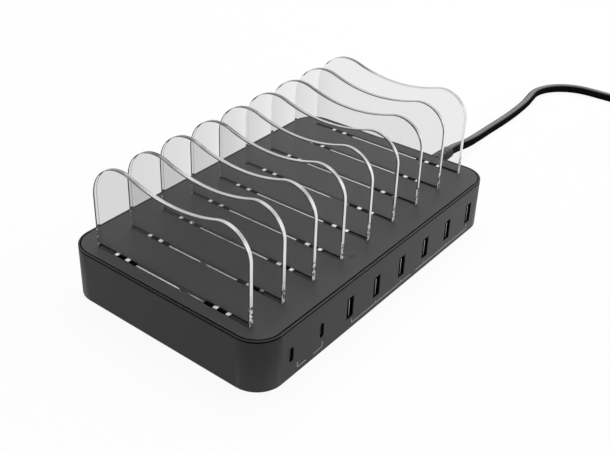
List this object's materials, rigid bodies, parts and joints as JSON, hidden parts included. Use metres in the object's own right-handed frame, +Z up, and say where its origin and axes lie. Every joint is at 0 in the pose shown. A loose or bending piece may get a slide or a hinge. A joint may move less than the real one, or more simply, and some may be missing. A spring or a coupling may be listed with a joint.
{
  "type": "charging station organizer",
  "caption": "Low rectangular charging station with a row of upright clear dividers on its deck, a line of upright sockets in one long side and a mains cord.",
  "frame": {"origin": "middle of the casing's footprint, on the table under the feet", "axes": "+X along the casing towards the mains inlet, +Y away from the sockets, +Z up"},
  "size_m": [0.4536, 0.2738, 0.0865],
  "materials": {
    "casing": "fine matt texture",
    "clear": "polished clear",
    "socket_metal": "dark nickel",
    "tongue_grey": "moulded",
    "tongue_dark": "moulded",
    "board": "lacquered",
    "core": "sintered",
    "winding": "taped",
    "sleeve": "shrink sleeve",
    "sink": "extruded",
    "copper": "enamelled",
    "fuse_glass": "clear",
    "brass": "turned",
    "steel": "plated",
    "foot_rubber": "matt",
    "cord_black": "satin",
    "plug_black": "moulded"
  },
  "bodies": {
    "base": {"base_shell": "casing", "top_cover": "casing", "circuit_board": "board", "transformer_core": "core", "transformer_winding": "winding", "bulk_capacitors": "sleeve", "output_capacitors": "sleeve", "heat_sink": "sink", "line_choke": "copper", "fuse": "fuse_glass", "power_inlet": "plug_black", "inlet_pins": "brass", "board_screws": "steel", "cover_screws": "steel", "cord_connector": "plug_black", "power_cord": "cord_black", "cord_coil": "cord_black", "cord_tail": "cord_black", "cord_tie": "plug_black", "mains_plug": "plug_black", "plug_pins": "steel", "usb_a_shell_1": "socket_metal", "usb_a_tongue_1": "tongue_grey", "usb_a_shell_2": "socket_metal", "usb_a_tongue_2": "tongue_grey", "usb_a_shell_3": "socket_metal", "usb_a_tongue_3": "tongue_grey", "usb_a_shell_4": "socket_metal", "usb_a_tongue_4": "tongue_grey", "usb_a_shell_5": "socket_metal", "usb_a_tongue_5": "tongue_grey", "usb_a_shell_6": "socket_metal", "usb_a_tongue_6": "tongue_grey", "usb_c_shell_1": "socket_metal", "usb_c_tongue_1": "tongue_dark", "usb_c_shell_2": "socket_metal", "usb_c_tongue_2": "tongue_dark", "foot_1": "foot_rubber", "foot_2": "foot_rubber", "foot_3": "foot_rubber", "foot_4": "foot_rubber"},
    "divider_1": {"divider_1": "clear"},
    "divider_2": {"divider_2": "clear"},
    "divider_3": {"divider_3": "clear"},
    "divider_4": {"divider_4": "clear"},
    "divider_5": {"divider_5": "clear"},
    "divider_6": {"divider_6": "clear"},
    "divider_7": {"divider_7": "clear"},
    "divider_8": {"divider_8": "clear"},
    "divider_9": {"divider_9": "clear"}
  },
  "joints": [
    {"name": "divider_1_lift", "type": "slide", "parent": "base", "child": "divider_1", "axis": [0, 0, 1], "range_m": [0, 0.02]},
    {"name": "divider_2_lift", "type": "slide", "parent": "base", "child": "divider_2", "axis": [0, 0, 1], "range_m": [0, 0.02]},
    {"name": "divider_3_lift", "type": "slide", "parent": "base", "child": "divider_3", "axis": [0, 0, 1], "range_m": [0, 0.02]},
    {"name": "divider_4_lift", "type": "slide", "parent": "base", "child": "divider_4", "axis": [0, 0, 1], "range_m": [0, 0.02]},
    {"name": "divider_5_lift", "type": "slide", "parent": "base", "child": "divider_5", "axis": [0, 0, 1], "range_m": [0, 0.02]},
    {"name": "divider_6_lift", "type": "slide", "parent": "base", "child": "divider_6", "axis": [0, 0, 1], "range_m": [0, 0.02]},
    {"name": "divider_7_lift", "type": "slide", "parent": "base", "child": "divider_7", "axis": [0, 0, 1], "range_m": [0, 0.02]},
    {"name": "divider_8_lift", "type": "slide", "parent": "base", "child": "divider_8", "axis": [0, 0, 1], "range_m": [0, 0.02]},
    {"name": "divider_9_lift", "type": "slide", "parent": "base", "child": "divider_9", "axis": [0, 0, 1], "range_m": [0, 0.02]}
  ]
}
